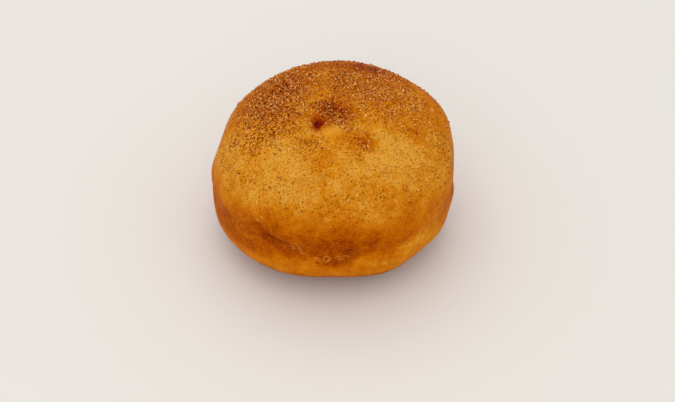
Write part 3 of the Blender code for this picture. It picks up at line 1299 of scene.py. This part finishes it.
@dataclass
class Studio:
    """A pale floor, soft light and the camera."""

    aim: Vector
    camera_place: Vector
    lens: float = 81.0
    floor_side: float = 6.0
    floor_colour: str = "#EAE6E0"
    sky_colour: str = "#FFFFFF"
    sky_power: float = 0.80
    lamps: tuple[Lamp, ...] = (
        Lamp("softbox_over", (-0.12, 0.32, 0.90), 0.9, 1.8),
        Lamp("softbox_front", (-0.15, -0.85, 0.50), 0.8, 1.5),
    )

    def build(self) -> None:
        """Makes the floor, the lamps, the sky and the camera."""
        self.build_floor()
        for lamp in self.lamps:
            self.build_lamp(lamp)
        world = bpy.data.worlds.new("studio")
        world.use_nodes = True
        background = world.node_tree.nodes["Background"]
        background.inputs["Color"].default_value = linear(self.sky_colour)
        background.inputs["Strength"].default_value = self.sky_power
        bpy.context.scene.world = world
        bpy.context.scene.view_settings.view_transform = "Standard"
        self.build_camera()

    def build_floor(self) -> None:
        """Makes the floor, matt and pale with a faint unevenness."""
        made, tree = new_material("matt_painted_board")
        place = add_node(tree, "ShaderNodeTexCoord").outputs["Object"]
        tone = add_node(tree, "ShaderNodeTexNoise", {"Scale": 3.0, "Detail": 2.0}, {"Vector": place}).outputs["Fac"]
        colour = add_node(
            tree,
            "ShaderNodeMix",
            {"data_type": "RGBA", 6: linear(self.floor_colour), 7: linear("#EBE5DE")},
            {0: tone},
        ).outputs[2]
        shader = add_node(tree, "ShaderNodeBsdfPrincipled", {"Roughness": 0.6}, {"Base Color": colour})
        add_node(tree, "ShaderNodeOutputMaterial", links={"Surface": shader.outputs[0]})
        sheet = bmesh.new()
        bmesh.ops.create_grid(sheet, x_segments=1, y_segments=1, size=self.floor_side / 2)
        mesh = bpy.data.meshes.new("floor")
        sheet.to_mesh(mesh)
        sheet.free()
        mesh.materials.append(made)
        floor = bpy.data.objects.new("floor", mesh)
        bpy.context.scene.collection.objects.link(floor)

    def build_lamp(self, lamp: Lamp) -> None:
        """Makes a square lamp that faces the doughnut."""
        data = bpy.data.lights.new(lamp.name, "AREA")
        data.size, data.energy, data.color = lamp.side, lamp.power, linear(lamp.colour)[:3]
        holder = bpy.data.objects.new(lamp.name, data)
        holder.location = lamp.place
        holder.rotation_euler = (self.aim - holder.location).to_track_quat("-Z", "Y").to_euler()
        bpy.context.scene.collection.objects.link(holder)

    def build_camera(self) -> None:
        """Makes the camera."""
        data = bpy.data.cameras.new("camera")
        data.lens, data.sensor_width = self.lens, 36.0
        camera = bpy.data.objects.new("camera", data)
        camera.location = self.camera_place
        camera.rotation_euler = (self.aim - self.camera_place).to_track_quat("-Z", "Y").to_euler()
        bpy.context.scene.collection.objects.link(camera)
        bpy.context.scene.camera = camera


# ---------------------------------------------------------------- all together


def main() -> None:
    """Builds each part of the scene in order."""
    form = DoughForm()
    mouth = form.mouth()
    axis = mouth - form.heart()
    hole = PipingHole(mouth, axis / np.linalg.norm(axis))
    longitudes = np.radians(np.arange(0, 360, 2))
    ring = np.vstack([heading(math.degrees(turn), rise) for turn in longitudes for rise in range(-30, 45, 3)])
    skin = form.surface(ring)
    middle = (skin.min(axis=0) + skin.max(axis=0)) / 2
    low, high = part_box("dough")
    offset = np.array([(low.x + high.x) / 2 - middle[0], (low.y + high.y) / 2 - middle[1], 0])
    log.info("form to packed frame: %s mm", (offset / MM).round(3))
    toppings = Toppings(form, hole)
    skin = Crust(form, hole)
    crust = skin.build(offset, toppings)
    Puckers(skin).build(crust, offset)
    Jelly(hole).build(offset)
    for kind in Topping:
        toppings.build(crust, offset, kind)
    Studio(aim=Vector((0.0019, 0.0088, 0)), camera_place=Vector((0.0019, -0.4229, 0.4166))).build()


if __name__ == "__main__":
    logging.basicConfig(level=logging.INFO, format="%(name)s: %(message)s")
    main()
